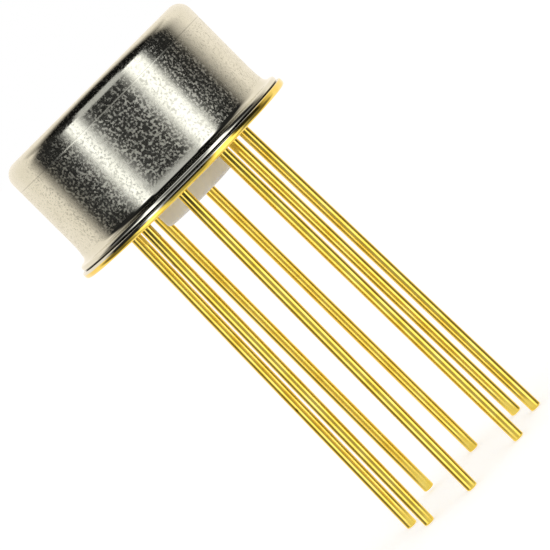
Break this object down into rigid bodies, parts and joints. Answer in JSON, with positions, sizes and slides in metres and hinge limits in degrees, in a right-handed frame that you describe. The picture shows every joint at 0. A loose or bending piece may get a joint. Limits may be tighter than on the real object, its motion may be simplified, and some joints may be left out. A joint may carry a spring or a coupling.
{
  "type": "operational amplifier in a round metal can",
  "caption": "Amplifier chip sealed in a flanged round metal can, with an index tab, a plastic standoff and long straight gold-plated wire leads to solder into a board.",
  "frame": {"origin": "middle of the standoff's underside, on the face of the board that the part is soldered to", "axes": "+Z through the closed top of the can, +Y out through the index tab, leads pointing to -Z"},
  "size_m": [0.0092, 0.0101, 0.0181],
  "materials": {
    "nickel": "satin nickel plate, fine grain",
    "gold_plate": "gold plate on nickel-iron alloy",
    "gold_wire": "gold plate with drawn streaks",
    "sealing_glass": "dark fused glass",
    "white_plastic": "matt white moulding",
    "gold_solder": "wavy solidified solder",
    "silicon": "polished, patterned top",
    "bond_metal": "bright drawn"
  },
  "bodies": {
    "root": {"cap": "nickel", "header": "gold_plate", "standoff": "white_plastic", "die_attach": "gold_solder", "die": "silicon", "lead_1": "gold_wire", "glass_seal_1": "sealing_glass", "bond_wire_1": "bond_metal", "lead_2": "gold_wire", "glass_seal_2": "sealing_glass", "bond_wire_2": "bond_metal", "lead_3": "gold_wire", "glass_seal_3": "sealing_glass", "bond_wire_3": "bond_metal", "lead_4": "gold_wire", "glass_seal_4": "sealing_glass", "bond_wire_4": "bond_metal", "lead_5": "gold_wire", "glass_seal_5": "sealing_glass", "bond_wire_5": "bond_metal", "lead_6": "gold_wire", "glass_seal_6": "sealing_glass", "bond_wire_6": "bond_metal", "lead_7": "gold_wire", "glass_seal_7": "sealing_glass", "bond_wire_7": "bond_metal", "lead_8": "gold_wire", "glass_seal_8": "sealing_glass", "bond_wire_8": "bond_metal"}
  },
  "joints": []
}
